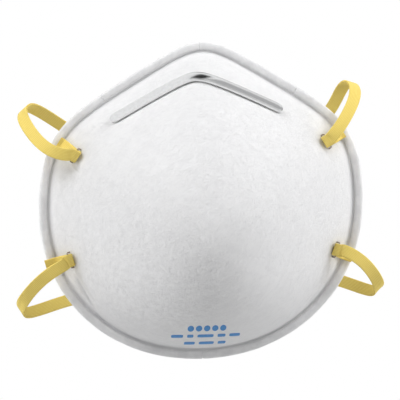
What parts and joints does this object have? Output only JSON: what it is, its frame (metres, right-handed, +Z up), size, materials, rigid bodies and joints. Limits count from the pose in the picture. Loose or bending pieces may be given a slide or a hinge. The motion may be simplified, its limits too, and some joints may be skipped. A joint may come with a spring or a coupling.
{
  "type": "disposable dust mask",
  "caption": "Moulded white cup dust mask with bound edge, bent metal nose clip, inner foam and elastic head straps stapled at the corners, which swing up or down.",
  "frame": {"origin": "centre of the face opening, in the middle plane of the bound edge", "axes": "+Z up towards the nose, +Y towards the wearer's face, +X to the right in front view; the cup bulges towards -Y"},
  "size_m": [0.1496, 0.0761, 0.1282],
  "materials": {
    "cover_felt": "needled nonwoven, white, matt",
    "filter_media": "melt-blown filter web, white",
    "shell_felt": "moulded nonwoven, white, matt",
    "edge_binding": "soft binding, light grey, matt",
    "clip_metal": "satin rolled strip",
    "clip_bond": "hot-melt bond",
    "nose_foam": "open-cell foam, soft grey",
    "strap_elastic": "woven elastic, yellow",
    "staple_wire": "drawn wire"
  },
  "bodies": {
    "mask": {"outer_cover": "cover_felt", "filter_web": "filter_media", "inner_shell": "shell_felt", "edge_band": "edge_binding", "nose_clip": "clip_metal", "clip_adhesive": "clip_bond", "nose_foam": "nose_foam", "upper_left_tail": "strap_elastic", "upper_right_tail": "strap_elastic", "lower_left_tail": "strap_elastic", "lower_right_tail": "strap_elastic", "upper_left_staple": "staple_wire", "upper_right_staple": "staple_wire", "lower_left_staple": "staple_wire", "lower_right_staple": "staple_wire"},
    "upper_strap": {"upper_strap": "strap_elastic"},
    "lower_strap": {"lower_strap": "strap_elastic"}
  },
  "joints": [
    {"name": "upper_strap_swing", "type": "hinge", "parent": "mask", "child": "upper_strap", "pos_m": [-0.05255, -0.01298, 0.02089], "axis": [0.9994, -0.0002, 0.0347], "range_deg": [-10, 60]},
    {"name": "lower_strap_swing", "type": "hinge", "parent": "mask", "child": "lower_strap", "pos_m": [-0.05586, -0.0115, -0.02215], "axis": [0.9999, 0.0011, 0.0112], "range_deg": [-40, 15]}
  ]
}
